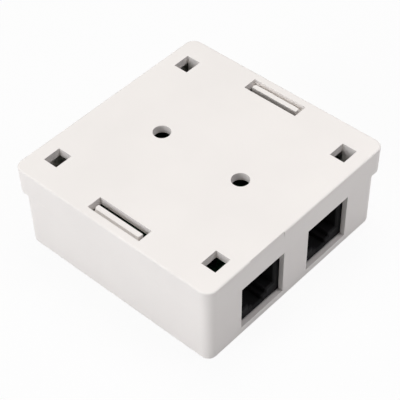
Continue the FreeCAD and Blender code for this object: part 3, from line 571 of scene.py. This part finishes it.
class WALLBOX_OT_build_prints(bpy.types.Operator):
    """Print an outline round each wire block and a colour field beside each of its wire slots"""
    bl_idname = "wallbox.build_prints"
    bl_label = "Build Prints"

    def execute(self, context):
        settings = context.scene.wallbox_board
        ink = ink_finish("print_ink", settings.print_ink)
        inks = {pair: ink_finish(f"print_{pair}", getattr(settings, pair)) for pair in PAIRS}
        for port in PORTS:
            for row in ROWS:
                self.print_outline(f"{port}_{row}", ink, settings)
                self.print_fields(port, row, inks, settings)
        return {"FINISHED"}

    @staticmethod
    def clear_pegs(mesh, settings):
        """Cut a flat print away round the base's pegs, which come through the board on its middle line."""
        reach = settings.peg_keep_out
        middle = (BOARD_LOW.y + BOARD_HIGH.y) / 2
        for across in (BOARD_LOW.x + settings.peg_margin, BOARD_HIGH.x - settings.peg_margin):
            peg = Vector((across, middle, 0))
            for axis in (Vector((1, 0, 0)), Vector((0, 1, 0))):
                for side in (peg - axis * reach, peg + axis * reach):
                    parts = mesh.verts[:] + mesh.edges[:] + mesh.faces[:]
                    bmesh.ops.bisect_plane(mesh, geom=parts, dist=SAME_POINT, plane_co=side,
                                           plane_no=axis)
            gone = []
            for face in mesh.faces:
                off = face.calc_center_median() - peg
                if max(abs(off.x), abs(off.y)) < reach:
                    gone.append(face)
            bmesh.ops.delete(mesh, geom=gone, context="FACES")

    def print_outline(self, place, ink, settings):
        """A thin frame just outside the dust cap."""
        low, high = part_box(f"dust_cap_{place}")
        margin = settings.outline_gap + settings.outline_width
        reach = (high - low) / 2 + Vector((margin, margin, 0))
        middle = (low + high) / 2
        mesh = bmesh.new()
        bmesh.ops.create_grid(mesh, x_segments=1, y_segments=1, size=1.0)
        bmesh.ops.scale(mesh, verts=mesh.verts, vec=(reach.x, reach.y, 1))
        bmesh.ops.translate(mesh, verts=mesh.verts, vec=(middle.x, middle.y, COMPONENT_SIDE))
        ring = bmesh.ops.inset_region(mesh, faces=mesh.faces, thickness=settings.outline_width,
                                      use_boundary=True, use_even_offset=True)["faces"]
        inner = [face for face in mesh.faces if face not in ring]
        bmesh.ops.delete(mesh, geom=inner, context="FACES")
        self.clear_pegs(mesh, settings)
        thicken(mesh, mesh.faces[:], -settings.ink_height)
        settle(mesh, f"outline_{place}", UNIT, ink)

    @staticmethod
    def print_fields(port, row, inks, settings):
        """Four fields in the cable's pair colours, on the side of the block that the wires come from."""
        low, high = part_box(f"dust_cap_{port}_{row}")
        y = high.y + settings.field_gap if row == "front" else low.y - settings.field_gap
        size = (settings.field_along, settings.field_across, 2 * settings.ink_height)
        for pin, (pair, ink) in zip(pin_ends(f"blades_{port}_{row}"), inks.items()):
            mesh = bmesh.new()
            bmesh.ops.create_cube(mesh, size=1.0)
            bmesh.ops.scale(mesh, verts=mesh.verts, vec=size)
            bmesh.ops.translate(mesh, verts=mesh.verts, vec=(pin.x, y, COMPONENT_SIDE))
            upright = [edge for edge in mesh.edges if edge.verts[0].co.z != edge.verts[1].co.z]
            bmesh.ops.bevel(mesh, geom=upright, offset=settings.field_corner, segments=4, profile=0.5,
                            affect="EDGES", material=-1)
            settle(mesh, f"field_{port}_{row}_{pair}", UNIT, ink)


class WALLBOX_OT_build_marks(bpy.types.Operator):
    """Leave the round marks of the ejector pins inside the cover"""
    bl_idname = "wallbox.build_marks"
    bl_label = "Build Ejector Marks"

    def execute(self, context):
        settings = context.scene.wallbox_housing
        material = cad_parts["cover"].material_slots[0].material
        level = COVER_LOW.z + settings.plate + settings.mark_middle
        out_x, out_y = COVER_HIGH.x * settings.mark_spread, COVER_HIGH.y * settings.mark_spread
        mesh = bmesh.new()
        for x in (-out_x, 0, out_x):
            for y in (-out_y * settings.mark_front, out_y):
                disc = bmesh.ops.create_cone(mesh, cap_ends=True, segments=MARK_SIDES,
                                             radius1=settings.mark_foot, radius2=settings.mark_top,
                                             depth=settings.mark_depth)
                bmesh.ops.translate(mesh, verts=disc["verts"], vec=(x, y, level))
        settle(mesh, "ejector_marks", COVER, material)
        return {"FINISHED"}


class WALLBOX_OT_set_stage(bpy.types.Operator):
    """Set the paper floor, the lamps, the sky and the camera"""
    bl_idname = "wallbox.set_stage"
    bl_label = "Set Stage"

    def execute(self, context):
        settings = context.scene.wallbox_stage
        self.lay_floor(settings)
        self.light_sky(settings)
        self.hang_lamp("window_lamp", settings.window_lamp, settings.window_hue,
                       azimuth=-100, elevation=22, distance=0.8, size=0.5)
        self.hang_lamp("top_lamp", settings.top_lamp, settings.top_hue,
                       azimuth=130, elevation=76, distance=0.8, size=0.6)
        self.hang_lamp("port_lamp", settings.port_lamp, settings.port_hue,
                       azimuth=32, elevation=48, distance=0.5, size=0.3)
        self.place_camera(settings)
        context.scene.view_settings.view_transform = "Standard"
        return {"FINISHED"}

    @staticmethod
    def seen_directly(finish):
        """1 for what the camera sees, straight or in a reflection or through glass, and 0 for light."""
        straight, mirrored, through = (
            finish.add("ShaderNodeLightPath", out=f"Is {kind} Ray")
            for kind in ("Camera", "Glossy", "Transmission"))
        return straight | mirrored | through

    def lay_floor(self, settings):
        """Lay a pale paper that the camera sees almost white, and that keeps the box's shadow."""
        finish = Finish("floor_paper")
        paper = finish.add("ShaderNodeBsdfDiffuse", None, {"Color": with_alpha(settings.floor)})
        glow = finish.add("ShaderNodeEmission", None, {"Color": WHITE, "Strength": 1.0})
        mixed = finish.add("ShaderNodeMixShader", None, {
            0: self.seen_directly(finish) * settings.floor_glow, 1: paper, 2: glow})
        finish.add("ShaderNodeOutputMaterial", None, {"Surface": mixed})
        mesh = bmesh.new()
        bmesh.ops.create_grid(mesh, x_segments=1, y_segments=1, size=FLOOR_REACH)
        put_mesh(mesh, "floor", finish.owner)

    def light_sky(self, settings):
        """Light the box evenly from all round, under a sky that the camera sees white."""
        finish = Finish("studio", store="worlds")
        strength = finish.spread(self.seen_directly(finish), 0.0, 1.0, settings.sky, 1.0)
        sky = finish.add("ShaderNodeBackground", None, {"Color": WHITE, "Strength": strength})
        finish.add("ShaderNodeOutputWorld", None, {"Surface": sky})
        bpy.context.scene.world = finish.owner

    @staticmethod
    def hang_lamp(name, watts, hue, azimuth, elevation, distance, size):
        """Hang a square lamp round the box, facing it; angles in degrees, lengths in metres."""
        back = direction(math.radians(azimuth), math.radians(elevation))
        light = bpy.data.lights.new(name, "AREA")
        light.shape, light.size, light.energy, light.color = "SQUARE", size, watts, hue
        lamp = put(name, light)
        lamp.location = back * distance
        lamp.rotation_euler = back.to_track_quat("Z", "Y").to_euler()

    @staticmethod
    def place_camera(settings):
        """Place the camera by its angles, its roll and where the frame's origin lies in its view."""
        back = direction(settings.azimuth, settings.elevation)
        level = Vector((math.cos(settings.azimuth), math.sin(settings.azimuth), 0))
        plumb = (-back).cross(level)
        right = level * math.cos(settings.roll) - plumb * math.sin(settings.roll)
        down = level * math.sin(settings.roll) + plumb * math.cos(settings.roll)
        data = bpy.data.cameras.new("photo_camera")
        data.sensor_width, data.lens = FULL_FRAME, settings.focal_length / MM
        data.clip_start, data.clip_end = 0.01, 20.0
        spot = back * settings.distance - right * settings.box_right - down * settings.box_down
        axes = Matrix((right, -down, back)).transposed().to_4x4()
        camera = put("photo_camera", data)
        camera.matrix_world = Matrix.Translation(spot) @ axes
        bpy.context.scene.camera = camera


class WALLBOX_PT_panel(bpy.types.Panel):
    """Lists the steps in the order in which they are run"""
    bl_idname = "WALLBOX_PT_panel"
    bl_label = "Wall Box"
    bl_space_type = "VIEW_3D"
    bl_region_type = "UI"
    bl_category = "Wall Box"

    def draw(self, context):
        for operator in OPERATORS:
            self.layout.operator(operator.bl_idname)
        for name, _ in SETTINGS:
            group = getattr(context.scene, name)
            column = self.layout.column(heading=group.bl_rna.name)
            for key in group.bl_rna.properties.keys():
                if key not in {"rna_type", "name"}:
                    column.prop(group, key)


SETTINGS = (
    ("wallbox_housing", HousingSettings), ("wallbox_jacks", JackSettings),
    ("wallbox_blocks", BlockSettings), ("wallbox_board", BoardSettings),
    ("wallbox_stage", StageSettings))
OPERATORS = (
    WALLBOX_OT_finish_housing, WALLBOX_OT_finish_jacks, WALLBOX_OT_finish_blocks,
    WALLBOX_OT_finish_board, WALLBOX_OT_build_solder, WALLBOX_OT_build_tracks,
    WALLBOX_OT_build_prints, WALLBOX_OT_build_marks, WALLBOX_OT_set_stage)


def register():
    for name, group in SETTINGS:
        bpy.utils.register_class(group)
        setattr(bpy.types.Scene, name, PointerProperty(type=group))
    for operator in OPERATORS:
        bpy.utils.register_class(operator)
    bpy.utils.register_class(WALLBOX_PT_panel)


def unregister():
    bpy.utils.unregister_class(WALLBOX_PT_panel)
    for operator in reversed(OPERATORS):
        bpy.utils.unregister_class(operator)
    for name, group in reversed(SETTINGS):
        delattr(bpy.types.Scene, name)
        bpy.utils.unregister_class(group)


def main():
    """Register the add-on and run every step."""
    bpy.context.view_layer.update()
    register()
    for operator in OPERATORS:
        group, step = operator.bl_idname.split(".")
        getattr(getattr(bpy.ops, group), step)()


if __name__ == "__main__":
    main()
